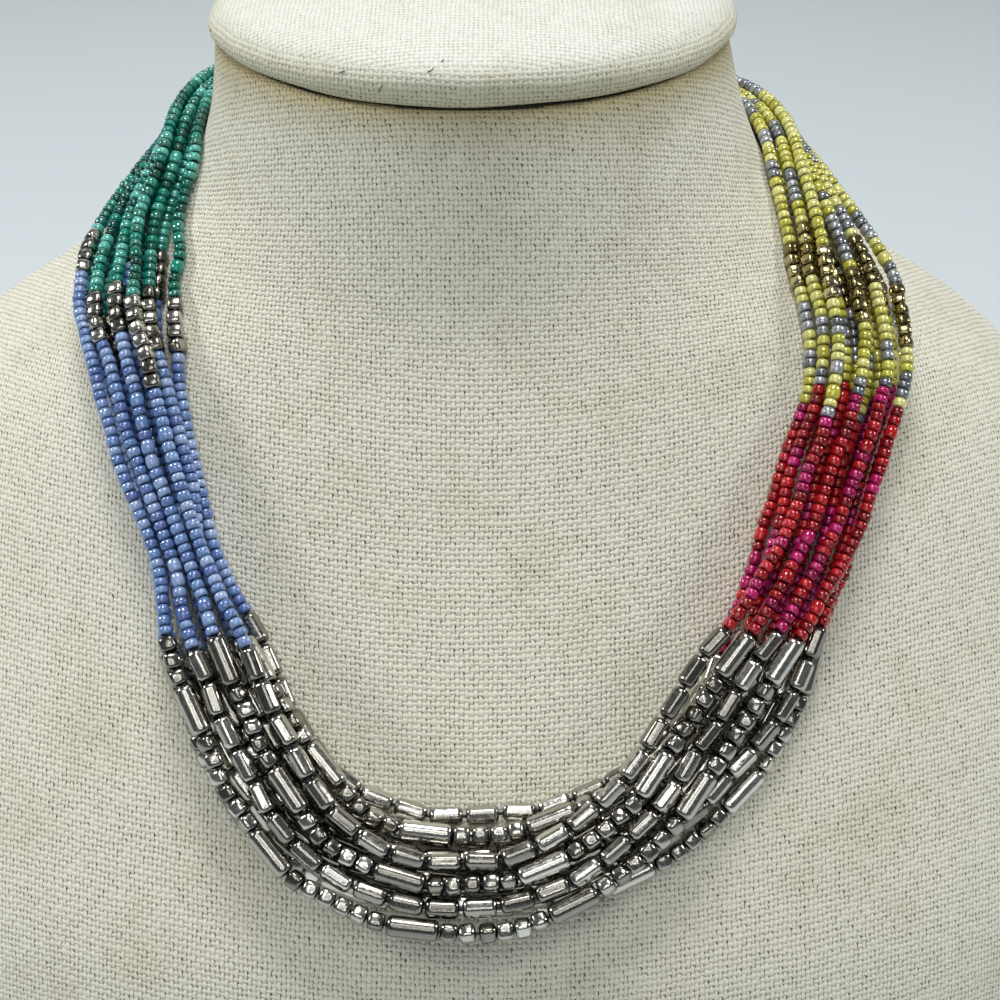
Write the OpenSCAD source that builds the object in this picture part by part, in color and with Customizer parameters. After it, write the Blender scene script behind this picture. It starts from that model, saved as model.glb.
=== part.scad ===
// Beaded necklace of many strands, worn by a plain neck bust covered in linen.
// Right is +X, the back of the bust is +Y and up is +Z, in millimetres.
// The origin is at the middle of the underside, on the surface that the bust stands on.

/* [Beads] */
// Outer diameter of a seed bead, and of the tube that stands for a run of them
seed_d = 2.3; // [2.1:0.05:2.4]
// Width across the flats of a six-sided metal bead
hex_flats = 3; // [2.6:0.05:3.1]
// Length of a six-sided metal bead
hex_len = 6; // [5.5:0.1:6]
// Diameter of a long round metal bead
tube_d = 3.6; // [3.2:0.05:3.65]
// Length of a long round metal bead
tube_len = 9.3; // [8.5:0.1:9.3]
// Width of a small metal nugget between the long beads
nugget = 2.9; // [2.5:0.1:2.9]
// Gap between two metal beads along their thread
bead_gap = 0.45; // [0.4:0.05:0.55]
// Gap between two nuggets along their thread
nugget_gap = 0.25; // [0.2:0.05:0.4]
// Diameter of the thread
thread_d = 0.7; // [0.5:0.1:0.8]
// Diameter of the hole through a metal bead
bore_d = 1.1; // [1:0.05:1.3]

/* [Neck cap] */
// Height of the padded cap on the neck
cap_h = 14; // [10:1:20]
// How far the cap stands out past the neck
cap_overhang = 2.4; // [1:0.1:4]
// Gap that shows as the seam between the cap and the neck
cap_seam = 0.2; // [0.1:0.1:0.5]

/* [Clasp] */
// Length of the bar that each end of the strands goes into
bar_len = 6; // [5:0.5:8]
// Height of the clasp between the two bars
clasp_h = 9; // [6:0.5:12]
// Thickness of the clasp
clasp_t = 4.5; // [3:0.5:6]
// Gap between a bar and the strands or the clasp
bar_gap = 0.3; // [0.25:0.05:0.4]

/* [Hidden] */
SEED_SIDES = 8;
THREAD_SIDES = 5;
SEED_RING_STEP = 8.2;
ROUND_FN = 32;
BUST_SIDES = 36;
EPS = 0.5;

// Horizontal sections of the bust, from the underside to the top of the neck.
// Depths are from the neck's axis.
// The columns are height, half width, depth to the front, depth to the back, and
// squareness, which is 2 for an ellipse.
HEIGHT = 0;
HALF_W = 1;
FRONT = 2;
BACK = 3;
SQUARE = 4;
SECTIONS = [
    [0, 120, 114, 64, 2.8],
    [15, 127, 121, 68, 2.8],
    [38, 128, 116, 68, 2.7],
    [62, 126, 100, 62, 2.6],
    [86, 122, 82, 54, 2.4],
    [106, 115, 68, 47, 2.3],
    [121, 103, 59, 43, 2.2],
    [133, 86, 52.5, 41, 2.1],
    [143, 69, 48.5, 41, 2],
    [154, 57.5, 46, 41, 2],
    [166, 52, 44.5, 41, 2],
    [180, 49, 43.5, 41, 2],
];
NECK_TOP = SECTIONS[len(SECTIONS) - 1][HEIGHT];
BUST_RINGS = [0, 4, 15, 26, 38, 50, 62, 74, 86, 96, 106, 114, 121, 127, 133, 138, 143, 148, 154, 160, 168, 180];

// The band that all the strands lie in, from its left end at the nape, round the left
// side of the neck, over the chest and back round the right side. Angles run round the
// bust from the right, so the back is 90, the left 180, the front 270 and the right 360.
// The columns are angle and height of the band's inner edge, then of its outer edge.
BAND = [
    [107, 168, 105.4, 154],
    [140, 168.5, 140, 154],
    [168, 167, 166, 151],
    [188, 162, 178, 146.5],
    [204, 151, 189, 141],
    [226, 138, 212, 132],
    [238, 128, 227, 123.5],
    [246, 115.5, 237, 112],
    [250.5, 103, 243, 100],
    [255, 92, 246.5, 87.5],
    [260, 81.5, 251, 74.5],
    [263.5, 75, 256, 62.5],
    [266.5, 70.5, 262, 54],
    [270, 68.5, 270, 50],
    [276, 73.5, 278, 55.5],
    [281, 81.5, 286.5, 67],
    [284, 88, 293.5, 79],
    [286.5, 95, 299, 91],
    [291, 107, 305, 102],
    [296, 117.5, 313, 114],
    [304, 127, 322, 122],
    [316, 138, 334, 130.5],
    [332, 148, 350, 138.5],
    [350, 157, 363, 146],
    [372, 162.5, 379, 149.5],
    [400, 165, 402, 151],
    [433, 166, 434.9, 152],
];
LAST_ROW = len(BAND) - 1;

// How the strands share the band. The columns are the row of the band, the height of
// the lowest layer above the cloth, the step from one layer to the next, the spacing of
// the strands in a layer, the sideways shift of each of the three layers, and how far a
// strand strays. Spacing, shift and stray are fractions of the band's width.
AT_ROW = 0;
FIRST_H = 1;
STEP_H = 2;
SPACING = 3;
SHIFT = 4;
STRAY = 7;
LAYOUT = [
    [0, 1.7, 2.6, 0.195, 0, 0, 0, 0],
    [2.2, 1.7, 2.6, 0.23, 0, 0, 0, 0],
    [4.5, 1.7, 2.6, 0.175, -0.08, 0.04, 0.09, 0.015],
    [7, 1.7, 2.6, 0.19, 0.02, -0.05, 0.06, 0.01],
    [8.2, 1.7, 2.7, 0.19, 0, 0.05, -0.04, 0],
    [9, 2.4, 3.8, 0.225, 0, 0, -0.03, 0],
    [10.5, 2.4, 3.8, 0.175, 0.05, -0.06, 0.04, 0],
    [12, 2.4, 3.8, 0.165, -0.04, 0, 0.15, 0],
    [13.2, 2.4, 3.8, 0.175, -0.06, 0, 0.2, 0],
    [14.7, 2.4, 3.8, 0.175, 0.08, -0.03, -0.16, 0],
    [16, 2.4, 3.8, 0.175, 0.08, 0.05, -0.18, 0],
    [17.2, 2.4, 3.8, 0.165, 0.02, 0.04, -0.08, 0],
    [18.4, 1.7, 2.5, 0.16, 0, -0.035, 0.035, 0.01],
    [21.3, 1.7, 2.5, 0.175, 0, -0.04, 0.04, 0.015],
    [24, 1.7, 2.6, 0.235, 0, 0, 0, 0],
    [26, 1.7, 2.6, 0.195, 0, 0, 0, 0],
];
STRANDS_IN_LAYER = [5, 4, 4];

// The strands. The columns are layer, place in the layer from the inner edge, the row of
// the band where the metal beads start, how many six-sided beads it has, or else how
// many long beads, nuggets after each long bead but the last, and nuggets before the first.
LAYER = 0;
SLOT = 1;
METAL_ROW = 2;
HEX_COUNT = 3;
TUBE_COUNT = 4;
NUGGETS = 5;
LEAD = 6;
STRANDS = [
    [0, 0, 8.75, 18, 0, 0, 0],
    [0, 1, 9, 20, 0, 0, 0],
    [0, 2, 9.1, 0, 6, 4, 5],
    [0, 3, 8.9, 24, 0, 0, 0],
    [0, 4, 9, 0, 7, 5, 0],
    [1, 0, 9.05, 0, 6, 4, 0],
    [1, 1, 8.85, 21, 0, 0, 0],
    [1, 2, 9.1, 0, 6, 5, 2],
    [1, 3, 8.95, 25, 0, 0, 0],
    [2, 0, 9.2, 19, 0, 0, 0],
    [2, 1, 9, 0, 6, 5, 0],
    [2, 2, 9.1, 23, 0, 0, 0],
    [2, 3, 8.9, 0, 6, 6, 3],
];
STRAND_NO = [for (k = [0:len(STRANDS) - 1]) k];

// Names of the nodes, with the strands numbered from 01
function number(k) = str(k < 9 ? "0" : "", k + 1);
FIXED_NODES = ["bust_body", "neck_cap", "end_bar_left", "end_bar_right", "clasp"];

// Smooth curves through the rows of a table

// The last row whose first column is not past x
function row_before(table, x) =
    max([for (i = [0:len(table) - 2]) if (i == 0 || table[i][0] <= x) i]);

// A cubic through two values, a and b, with slopes ma and mb over one step
function cubic(a, b, ma, mb, u) =
    (2 * u * u * u - 3 * u * u + 1) * a + (u * u * u - 2 * u * u + u) * ma
    + (3 * u * u - 2 * u * u * u) * b + (u * u * u - u * u) * mb;

// Slope of a whole row of the sections at row i
function section_slope(i) =
    let (hi = min(i + 1, len(SECTIONS) - 1), lo = max(i - 1, 0))
    (SECTIONS[hi] - SECTIONS[lo]) / (SECTIONS[hi][HEIGHT] - SECTIONS[lo][HEIGHT]);

// The bust's section at height z, as a row like those of the table
function section_at(z) =
    let (
        i = row_before(SECTIONS, z),
        rise = SECTIONS[i + 1][HEIGHT] - SECTIONS[i][HEIGHT],
        u = (z - SECTIONS[i][HEIGHT]) / rise
    )
    cubic(SECTIONS[i], SECTIONS[i + 1], section_slope(i) * rise, section_slope(i + 1) * rise, u);

// A sine or cosine squared off by the section's squareness
function squared(v, power) = sign(v) * pow(abs(v), 2 / power);

// How far the neck's axis is behind the middle of the underside
BUST_ROWS = [for (z = BUST_RINGS) section_at(z)];
NECK_Y = (max([for (s = BUST_ROWS) s[FRONT]]) - max([for (s = BUST_ROWS) s[BACK]])) / 2;

// A point of the cloth at an angle round the bust and a height
function bust_point(angle, z) =
    let (s = section_at(z), depth = sin(angle) < 0 ? s[FRONT] : s[BACK])
    [s[HALF_W] * squared(cos(angle), s[SQUARE]), NECK_Y + depth * squared(sin(angle), s[SQUARE]), z];

function unit(v) = v / norm(v);

// A point at a height above the cloth, and the way out of the cloth there
function cloth_normal(angle, z) =
    let (p = bust_point(angle, z))
    unit(cross(bust_point(angle + EPS, z) - p, bust_point(angle, z + EPS) - p));
function above_cloth(v) = bust_point(v[0], v[1]) + v[2] * cloth_normal(v[0], v[1]);

// The strands' routes

// A row of the layout for the band's row t, eased from one row of its table to the next
function layout_at(t) =
    let (
        i = row_before(LAYOUT, t),
        u = (t - LAYOUT[i][AT_ROW]) / (LAYOUT[i + 1][AT_ROW] - LAYOUT[i][AT_ROW]),
        ease = u * u * (3 - 2 * u)
    )
    LAYOUT[i] * (1 - ease) + LAYOUT[i + 1] * ease;

// Angle, height and distance off the cloth of strand k at each row of the band
function route(k) =
    let (layer = STRANDS[k][LAYER], middle = (STRANDS_IN_LAYER[layer] - 1) / 2)
    [for (r = [0:LAST_ROW])
        let (
            lay = layout_at(r),
            stray = lay[STRAY] * sin(137 * k + 75 * r),
            f = 0.5 + (STRANDS[k][SLOT] - middle) * lay[SPACING] + lay[SHIFT + layer] + stray,
            b = BAND[r]
        )
        [b[0] + f * (b[2] - b[0]), b[1] + f * (b[3] - b[1]), lay[FIRST_H] + layer * lay[STEP_H]]
    ];

// A smooth curve through the rows of a route
function along_route(rt, t) =
    let (
        i = min(max(floor(t), 0), LAST_ROW - 1),
        before = rt[max(i - 1, 0)],
        after = rt[min(i + 2, LAST_ROW)],
        m1 = (rt[i + 1] - before) / (i > 0 ? 2 : 1),
        m2 = (after - rt[i]) / (i < LAST_ROW - 1 ? 2 : 1)
    )
    cubic(rt[i], rt[i + 1], m1, m2, t - i);

// Lengths along a strand, as pairs of length and row, and the length at a row
STEPS_PER_ROW = 12;
function summed(v) = [for (i = 0, s = 0; i <= len(v); s = s + (i < len(v) ? v[i] : 0), i = i + 1) s];
function lengths(rt) =
    let (
        rows = [for (i = [0:LAST_ROW * STEPS_PER_ROW]) i / STEPS_PER_ROW],
        pts = [for (t = rows) above_cloth(along_route(rt, t))],
        run = summed([for (i = [0:len(pts) - 2]) norm(pts[i + 1] - pts[i])])
    )
    [for (i = [0:len(rows) - 1]) [run[i], rows[i]]];
function swapped(pairs) = [for (p = pairs) [p[1], p[0]]];
function whole_length(table) = table[len(table) - 1][0];

// Place, direction and outward normal of a strand at a length s along it
DT = 0.02;
function frame_at(rt, table, s) =
    let (
        t = lookup(s, table),
        here = along_route(rt, t),
        lo = max(t - DT, 0),
        hi = min(t + DT, LAST_ROW),
        way = unit(above_cloth(along_route(rt, hi)) - above_cloth(along_route(rt, lo))),
        out = cloth_normal(here[0], here[1])
    )
    [above_cloth(here), way, unit(out - (out * way) * way)];

// One closed tube through rings of place, direction, outward normal and radius
function ring_points(f, r, sides) =
    let (side = cross(f[1], f[2]))
    [for (i = [0:sides - 1]) f[0] + r * (cos(360 * i / sides) * f[2] + sin(360 * i / sides) * side)];
module swept(rings, sides) {
    last = len(rings) - 1;
    points = [for (g = rings) each ring_points(g[0], g[1], sides)];
    walls = [for (j = [0:last - 1], i = [0:sides - 1])
        let (a = j * sides + i, b = j * sides + (i + 1) % sides)
        each [[b, a, a + sides], [b, a + sides, b + sides]]];
    start = [for (i = [0:sides - 1]) i];
    end = [for (i = [sides - 1:-1:0]) last * sides + i];
    polyhedron(points, concat([start, end], walls), convexity = 10);
}

// A part made along +Z is set at a place with +Z along the strand and +X off the cloth
module at_frame(f) {
    side = cross(f[1], f[2]);
    multmatrix([
        [f[2].x, side.x, f[1].x, f[0].x],
        [f[2].y, side.y, f[1].y, f[0].y],
        [f[2].z, side.z, f[1].z, f[0].z],
        [0, 0, 0, 1],
    ]) children();
}

// Where the metal beads lie along a strand

hex_pitch = hex_len + bead_gap;
tube_pitch = tube_len + bead_gap;
nugget_pitch = nugget + nugget_gap;
function run_pitch(k) = tube_pitch + STRANDS[k][NUGGETS] * nugget_pitch;
function lead_len(k) = STRANDS[k][LEAD] * nugget_pitch;
function metal_len(k) =
    STRANDS[k][HEX_COUNT] > 0
        ? STRANDS[k][HEX_COUNT] * hex_pitch
        : lead_len(k) + (STRANDS[k][TUBE_COUNT] - 1) * run_pitch(k) + tube_pitch;
function metal_start(k, table) = lookup(STRANDS[k][METAL_ROW], swapped(table));

// Middle of bead i of a strand, from where its metal starts
function hex_middle(i) = (i + 0.5) * hex_pitch;
function tube_middle(k, i) = lead_len(k) + i * run_pitch(k) + tube_pitch / 2;

// The frame of a straight bead: its ends are on the strand, and it lies between them
function bead_frame(rt, table, s, len) =
    let (
        a = frame_at(rt, table, s - len / 2),
        b = frame_at(rt, table, s + len / 2),
        way = unit(b[0] - a[0]),
        out = a[2] + b[2]
    )
    [(a[0] + b[0]) / 2, way, unit(out - (out * way) * way)];

// The metal beads

// A six-sided bead of cast metal, its ends turned down, drilled for the thread
module hex_bead(roll) {
    corner_r = hex_flats / sqrt(3);
    end_r = 1;
    end_slope = 0.8;
    past = 0.1;
    intersection() {
        rotate([0, 0, roll]) cylinder(h = hex_len + 2 * past, r = corner_r, center = true, $fn = 6);
        rotate_extrude($fn = ROUND_FN) polygon([
            [bore_d / 2, -hex_len / 2],
            [end_r, -hex_len / 2],
            [corner_r + past, -hex_len / 2 + end_slope],
            [corner_r + past, hex_len / 2 - end_slope],
            [end_r, hex_len / 2],
            [bore_d / 2, hex_len / 2],
        ]);
    }
}

// A long round bead of cast metal with rounded ends, drilled for the thread
module long_bead() {
    end_r = 1.1;
    shoulder = 0.45;
    slope = 1.1;
    rotate_extrude($fn = ROUND_FN) polygon([
        [bore_d / 2, -tube_len / 2],
        [end_r, -tube_len / 2],
        [tube_d / 2 - shoulder / 2, -tube_len / 2 + slope / 2],
        [tube_d / 2, -tube_len / 2 + slope],
        [tube_d / 2, tube_len / 2 - slope],
        [tube_d / 2 - shoulder / 2, tube_len / 2 - slope / 2],
        [end_r, tube_len / 2],
        [bore_d / 2, tube_len / 2],
    ]);
}

module metal_beads(k) {
    rt = route(k);
    table = lengths(rt);
    s0 = metal_start(k, table);
    color("gray") {
        if (STRANDS[k][HEX_COUNT] > 0)
            for (i = [0:STRANDS[k][HEX_COUNT] - 1])
                at_frame(bead_frame(rt, table, s0 + hex_middle(i), hex_len)) hex_bead(roll = 41 * i + 17 * k);
        else
            for (i = [0:STRANDS[k][TUBE_COUNT] - 1])
                at_frame(bead_frame(rt, table, s0 + tube_middle(k, i), tube_len)) long_bead();
    }
}

// The thread through the metal beads. Where nuggets are strung it swells to their size.

function ring_at(rt, table, s, r) = [frame_at(rt, table, s), r];

// Rings at the gaps on both sides of each six-sided bead
function hex_thread(k, rt, table, s0) =
    [for (i = [0:STRANDS[k][HEX_COUNT]]) ring_at(rt, table, s0 + i * hex_pitch, thread_d / 2)];

// Rings of a run of n nuggets, from a length s: thin, thick at each nugget's end, thin
function nugget_run(rt, table, s, n) =
    let (thick = nugget / 2, inset = nugget_gap)
    n == 0 ? [] : concat(
        [ring_at(rt, table, s + inset, thread_d / 2)],
        [for (i = [0:n]) ring_at(rt, table, s + (i == 0 ? inset : i * nugget_pitch - (i == n ? inset : 0)), thick)],
        [ring_at(rt, table, s + n * nugget_pitch - inset, thread_d / 2)]
    );
function tube_thread(k, rt, table, s0) =
    let (n = STRANDS[k][TUBE_COUNT], total = metal_len(k))
    concat(
        [ring_at(rt, table, s0, thread_d / 2)],
        nugget_run(rt, table, s0, STRANDS[k][LEAD]),
        [for (i = [0:n - 2])
            each nugget_run(rt, table, s0 + lead_len(k) + i * run_pitch(k) + tube_pitch, STRANDS[k][NUGGETS])],
        [ring_at(rt, table, s0 + total, thread_d / 2)]
    );

module thread(k) {
    rt = route(k);
    table = lengths(rt);
    s0 = metal_start(k, table);
    color("silver") {
        if (STRANDS[k][HEX_COUNT] > 0)
            swept(hex_thread(k, rt, table, s0), THREAD_SIDES);
        else
            swept(tube_thread(k, rt, table, s0), THREAD_SIDES);
    }
}

// A run of seed beads from a length a to a length b along its strand
module seed_run(rt, table, a, b) {
    n = ceil((b - a) / SEED_RING_STEP);
    swept([for (i = [0:n]) ring_at(rt, table, a + (b - a) * i / n, seed_d / 2)], SEED_SIDES);
}

module seeds_left(k) {
    rt = route(k);
    table = lengths(rt);
    color("royalblue") seed_run(rt, table, 0, metal_start(k, table));
}

module seeds_right(k) {
    rt = route(k);
    table = lengths(rt);
    color("crimson") seed_run(rt, table, metal_start(k, table) + metal_len(k), whole_length(table));
}

// The clasp at the nape

// The middle of the strands' ends in the middle layer, at the row that the band starts or ends at
function end_frame(row) =
    let (
        b = BAND[row],
        lay = layout_at(row),
        turn = row == 0 ? -1 : 1,
        mid = [(b[0] + b[2]) / 2, (b[1] + b[3]) / 2, lay[FIRST_H] + lay[STEP_H]],
        out = cloth_normal(mid[0], mid[1]),
        next = above_cloth(mid + [turn, 0, 0]),
        here = above_cloth(mid)
    )
    [here, unit([next.x - here.x, next.y - here.y, 0]), unit([out.x, out.y, 0])];

// A bar that all the strands of one side go into: three layers thick, five strands high
BAR_RIM = 0.2;
module end_bar(row) {
    lay = layout_at(row);
    thick = 2 * lay[STEP_H] + seed_d + 2 * BAR_RIM;
    high = 4 * lay[SPACING] * abs(BAND[row][1] - BAND[row][3]) + seed_d + 2 * BAR_RIM;
    f = end_frame(row);
    color("dimgray") at_frame(f) translate([-thick / 2, -high / 2, bar_gap]) cube([thick, high, bar_len]);
}
module end_bar_left() { end_bar(0); }
module end_bar_right() { end_bar(LAST_ROW); }

// The clasp is one plain piece from bar to bar. It is straight and the bars lie at a slant
// to it, so a little more room is left.
SLANT_ROOM = 0.6;
module clasp() {
    left = end_frame(0);
    right = end_frame(LAST_ROW);
    reach = bar_len + 2 * bar_gap + SLANT_ROOM;
    far_left = left[0] + reach * left[1];
    far_right = right[0] + reach * right[1];
    length = far_right.x - far_left.x;
    mid = (far_left + far_right) / 2;
    color("dimgray") translate([mid.x, mid.y, mid.z]) rotate([0, 90, 0])
        cube([clasp_h, clasp_t, length], center = true);
}

// The bust

module bust_body() {
    rings = [for (z = BUST_RINGS) [for (i = [0:BUST_SIDES - 1]) bust_point(360 * i / BUST_SIDES, z)]];
    color("antiquewhite") stacked(rings);
}

// A closed solid through rings of points, each ring level and anticlockwise from above
module stacked(rings) {
    sides = len(rings[0]);
    last = len(rings) - 1;
    walls = [for (j = [0:last - 1], i = [0:sides - 1])
        let (a = j * sides + i, b = j * sides + (i + 1) % sides)
        each [[a, a + sides, b + sides], [a, b + sides, b]]];
    start = [for (i = [0:sides - 1]) i];
    end = [for (i = [sides - 1:-1:0]) last * sides + i];
    polyhedron([for (r = rings) each r], concat([start, end], walls), convexity = 6);
}

// The cap is a padded oval disc. The columns are height up the cap and how far the
// outline draws in from its widest, both as fractions of the cap's height.
CAP_PROFILE = [[0, 0.16], [0.06, 0.05], [0.2, 0], [0.55, 0], [0.76, 0.07], [0.9, 0.22], [0.97, 0.45], [1, 0.9]];
module neck_cap() {
    top = section_at(NECK_TOP);
    rings = [for (c = CAP_PROFILE)
        let (out = cap_overhang - c[1] * cap_h)
        [for (i = [0:BUST_SIDES - 1])
            let (a = 360 * i / BUST_SIDES, depth = (sin(a) < 0 ? top[FRONT] : top[BACK]) + out)
            [(top[HALF_W] + out) * cos(a), NECK_Y + depth * sin(a), NECK_TOP + cap_seam + c[0] * cap_h]]];
    color("linen") stacked(rings);
}

bust_body();
neck_cap();
end_bar_left();
end_bar_right();
clasp();
for (k = STRAND_NO) {
    seeds_left(k);
    metal_beads(k);
    thread(k);
    seeds_right(k);
}
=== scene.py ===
# %% [markdown]
# # A beaded necklace on a linen neck bust
# Thirteen strings of glass seed beads and cast metal beads lie round the neck of a plain
# bust that is covered in coarse cream linen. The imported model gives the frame: a solid bust,
# and a plain tube or a few loose solids for each string. This lesson dresses that frame
# with woven cloth, single beads, thread and studio light.

import math
import random

import bmesh
import bpy
import numpy as np
from mathutils import Matrix, Vector


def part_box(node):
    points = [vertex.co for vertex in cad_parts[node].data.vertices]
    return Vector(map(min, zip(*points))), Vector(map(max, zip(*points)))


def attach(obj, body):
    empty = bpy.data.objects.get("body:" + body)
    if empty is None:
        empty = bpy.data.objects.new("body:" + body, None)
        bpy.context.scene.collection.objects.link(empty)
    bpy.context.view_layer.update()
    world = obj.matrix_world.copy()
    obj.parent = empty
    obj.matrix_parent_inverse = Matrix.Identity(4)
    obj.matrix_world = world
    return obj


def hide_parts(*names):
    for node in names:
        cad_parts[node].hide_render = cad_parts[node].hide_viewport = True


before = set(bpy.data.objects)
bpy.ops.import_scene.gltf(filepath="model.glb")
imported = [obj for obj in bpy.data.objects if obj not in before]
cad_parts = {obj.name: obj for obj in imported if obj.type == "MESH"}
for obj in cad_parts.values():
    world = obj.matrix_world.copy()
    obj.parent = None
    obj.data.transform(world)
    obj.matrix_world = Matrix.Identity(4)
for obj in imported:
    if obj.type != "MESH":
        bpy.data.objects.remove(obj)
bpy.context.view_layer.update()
# a millimetre, in the scene's metres
MM = 0.001
print("nodes in the frame:", len(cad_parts))

# %% [markdown]
# ## The form of the bust
# A neck bust is a moulded form, so its level sections are ovals that grow squarer towards
# the shoulders. A short table of sections with a smooth curve through each column says the
# whole form, and the same table is in the part's source. Depths are from the neck's axis,
# and NECK_Y is how far that axis lies behind the middle of the underside.

# %% Sections of the bust, in millimetres
HEIGHT, HALF_W, FRONT, BACK, SQUARE = range(5)
SECTIONS = np.array([
    [0, 120, 114, 64, 2.8],
    [15, 127, 121, 68, 2.8],
    [38, 128, 116, 68, 2.7],
    [62, 126, 100, 62, 2.6],
    [86, 122, 82, 54, 2.4],
    [106, 115, 68, 47, 2.3],
    [121, 103, 59, 43, 2.2],
    [133, 86, 52.5, 41, 2.1],
    [143, 69, 48.5, 41, 2],
    [154, 57.5, 46, 41, 2],
    [166, 52, 44.5, 41, 2],
    [180, 49, 43.5, 41, 2],
])
NECK_TOP = 180
NECK_Y = 26.167


def cubic(a, b, ma, mb, u):
    """A cubic from a to b over one step, with slopes ma and mb."""
    return ((2 * u**3 - 3 * u**2 + 1) * a + (u**3 - 2 * u**2 + u) * ma
            + (3 * u**2 - 2 * u**3) * b + (u**3 - u**2) * mb)


def row_before(table, x):
    """The last row whose first column is not past x."""
    return max(i for i in range(len(table) - 1) if i == 0 or table[i][0] <= x)


def section_slope(i):
    hi, lo = SECTIONS[min(i + 1, len(SECTIONS) - 1)], SECTIONS[max(i - 1, 0)]
    return (hi - lo) / (hi[HEIGHT] - lo[HEIGHT])


def section_at(z):
    i = row_before(SECTIONS, z)
    rise = SECTIONS[i + 1][HEIGHT] - SECTIONS[i][HEIGHT]
    u = (z - SECTIONS[i][HEIGHT]) / rise
    return cubic(SECTIONS[i], SECTIONS[i + 1], section_slope(i) * rise, section_slope(i + 1) * rise, u)


def squared(v, power):
    """A sine or cosine squared off by the section's squareness."""
    return math.copysign(abs(v) ** (2 / power), v)


def bust_point(angle, z):
    """A point of the cloth, at an angle round the bust from its right and a height."""
    s = section_at(z)
    c, n = math.cos(math.radians(angle)), math.sin(math.radians(angle))
    depth = s[FRONT] if n < 0 else s[BACK]
    return Vector((s[HALF_W] * squared(c, s[SQUARE]), NECK_Y + depth * squared(n, s[SQUARE]), z))


# a small step, to find the skin's slope
STEP = 0.5


def cloth_normal(angle, z):
    p = bust_point(angle, z)
    return (bust_point(angle + STEP, z) - p).cross(bust_point(angle, z + STEP) - p).normalized()


def above_cloth(v):
    """A point at a distance off the cloth, from angle, height and distance."""
    angle, height, off = (float(x) for x in v)
    return bust_point(angle, height) + off * cloth_normal(angle, height)


low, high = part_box("bust_body")
print("bust in the frame %.1f mm wide, by the table %.1f mm" % (
    (high.x - low.x) / MM, 2 * max(section_at(z)[HALF_W] for z in range(0, NECK_TOP, 2))))

# %% [markdown]
# ## The routes of the strings
# All the strings share one band round the neck. Its rows give the inner and outer edge, and
# a second table gives how far the strings stand off the cloth and from each other: three
# layers of five, four and four. Both tables are the part's own, so each bead lands where
# the frame's string is.

# %% The band, the layout in it and the strings
# the inner edge's angle and height, then the outer edge's
BAND = np.array([
    [107, 168, 105.4, 154],
    [140, 168.5, 140, 154],
    [168, 167, 166, 151],
    [188, 162, 178, 146.5],
    [204, 151, 189, 141],
    [226, 138, 212, 132],
    [238, 128, 227, 123.5],
    [246, 115.5, 237, 112],
    [250.5, 103, 243, 100],
    [255, 92, 246.5, 87.5],
    [260, 81.5, 251, 74.5],
    [263.5, 75, 256, 62.5],
    [266.5, 70.5, 262, 54],
    [270, 68.5, 270, 50],
    [276, 73.5, 278, 55.5],
    [281, 81.5, 286.5, 67],
    [284, 88, 293.5, 79],
    [286.5, 95, 299, 91],
    [291, 107, 305, 102],
    [296, 117.5, 313, 114],
    [304, 127, 322, 122],
    [316, 138, 334, 130.5],
    [332, 148, 350, 138.5],
    [350, 157, 363, 146],
    [372, 162.5, 379, 149.5],
    [400, 165, 402, 151],
    [433, 166, 434.9, 152],
])
LAST_ROW = len(BAND) - 1
# after the row: the first layer's distance off the cloth, the step to the next, the spacing
# and each layer's shift as shares of the band, and how far a string strays
FIRST_H, STEP_H, SPACING, SHIFT, STRAY = 1, 2, 3, 4, 7
LAYOUT = np.array([
    [0, 1.7, 2.6, 0.195, 0, 0, 0, 0],
    [2.2, 1.7, 2.6, 0.23, 0, 0, 0, 0],
    [4.5, 1.7, 2.6, 0.175, -0.08, 0.04, 0.09, 0.015],
    [7, 1.7, 2.6, 0.19, 0.02, -0.05, 0.06, 0.01],
    [8.2, 1.7, 2.7, 0.19, 0, 0.05, -0.04, 0],
    [9, 2.4, 3.8, 0.225, 0, 0, -0.03, 0],
    [10.5, 2.4, 3.8, 0.175, 0.05, -0.06, 0.04, 0],
    [12, 2.4, 3.8, 0.165, -0.04, 0, 0.15, 0],
    [13.2, 2.4, 3.8, 0.175, -0.06, 0, 0.2, 0],
    [14.7, 2.4, 3.8, 0.175, 0.08, -0.03, -0.16, 0],
    [16, 2.4, 3.8, 0.175, 0.08, 0.05, -0.18, 0],
    [17.2, 2.4, 3.8, 0.165, 0.02, 0.04, -0.08, 0],
    [18.4, 1.7, 2.5, 0.16, 0, -0.035, 0.035, 0.01],
    [21.3, 1.7, 2.5, 0.175, 0, -0.04, 0.04, 0.015],
    [24, 1.7, 2.6, 0.235, 0, 0, 0, 0],
    [26, 1.7, 2.6, 0.195, 0, 0, 0, 0],
])
STRANDS_IN_LAYER = [5, 4, 4]
# layer, place in it, row where the metal starts, six-sided beads, long beads,
# nuggets after each long bead, nuggets before the first
STRANDS = [
    (0, 0, 8.75, 18, 0, 0, 0),
    (0, 1, 9, 20, 0, 0, 0),
    (0, 2, 9.1, 0, 6, 4, 5),
    (0, 3, 8.9, 24, 0, 0, 0),
    (0, 4, 9, 0, 7, 5, 0),
    (1, 0, 9.05, 0, 6, 4, 0),
    (1, 1, 8.85, 21, 0, 0, 0),
    (1, 2, 9.1, 0, 6, 5, 2),
    (1, 3, 8.95, 25, 0, 0, 0),
    (2, 0, 9.2, 19, 0, 0, 0),
    (2, 1, 9, 0, 6, 5, 0),
    (2, 2, 9.1, 23, 0, 0, 0),
    (2, 3, 8.9, 0, 6, 6, 3),
]
HEX_LEN, TUBE_LEN, NUGGET = 6.0, 9.3, 2.9
BEAD_GAP, NUGGET_GAP = 0.45, 0.25
STEPS_PER_ROW = 12
# degrees that the straying turns from string to string and from row to row
STRAY_BY_STRING, STRAY_BY_ROW = 137, 75
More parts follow.
